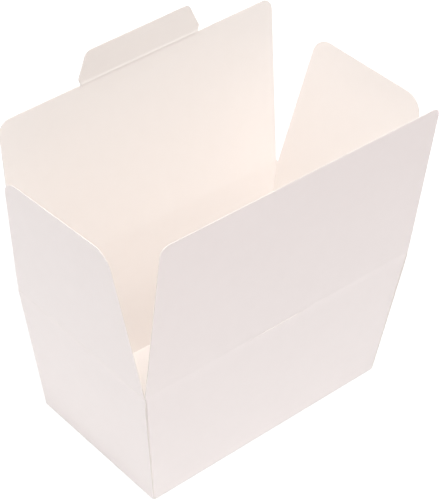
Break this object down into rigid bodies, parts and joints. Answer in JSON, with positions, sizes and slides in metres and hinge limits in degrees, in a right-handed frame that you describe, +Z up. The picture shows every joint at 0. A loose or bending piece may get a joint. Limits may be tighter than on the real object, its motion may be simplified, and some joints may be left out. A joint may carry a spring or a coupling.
{
  "type": "candy box",
  "caption": "Open card sweet box: a flared, glued tray with a flap on each wall and a tuck tab that locks in a slit in the front crease.",
  "frame": {"origin": "middle of the tray's underside, on the surface it stands on", "axes": "+Z up, X along the long side, -Y out of the front wall, the one whose crease has the slit"},
  "size_m": [0.1477, 0.0888, 0.1458],
  "materials": {
    "card": "white coated folding boxboard, satin, with uncoated raw edges"
  },
  "bodies": {
    "tray": {"carton_body": "card"},
    "front_flap": {"front_flap": "card"},
    "back_flap": {"back_flap": "card"},
    "tuck_tab": {"tuck_tab": "card"},
    "left_end_flap": {"left_end_flap": "card"},
    "right_end_flap": {"right_end_flap": "card"}
  },
  "joints": [
    {"name": "front_crease", "type": "hinge", "parent": "tray", "child": "front_flap", "pos_m": [0, -0.03728, 0.06], "axis": [-1, 0, 0], "range_deg": [-100, 94.6]},
    {"name": "back_crease", "type": "hinge", "parent": "tray", "child": "back_flap", "pos_m": [0, 0.03731, 0.0605], "axis": [1, 0, 0], "range_deg": [-100, 68]},
    {"name": "tab_crease", "type": "hinge", "parent": "back_flap", "child": "tuck_tab", "pos_m": [0, 0.04532, 0.13248], "axis": [1, 0, 0], "range_deg": [-20, 85]},
    {"name": "left_crease", "type": "hinge", "parent": "tray", "child": "left_end_flap", "pos_m": [-0.06471, 0, 0.0595], "axis": [0, 1, 0], "range_deg": [-100, 98.5]},
    {"name": "right_crease", "type": "hinge", "parent": "tray", "child": "right_end_flap", "pos_m": [0.06471, 0, 0.0595], "axis": [0, -1, 0], "range_deg": [-100, 97.9]}
  ]
}
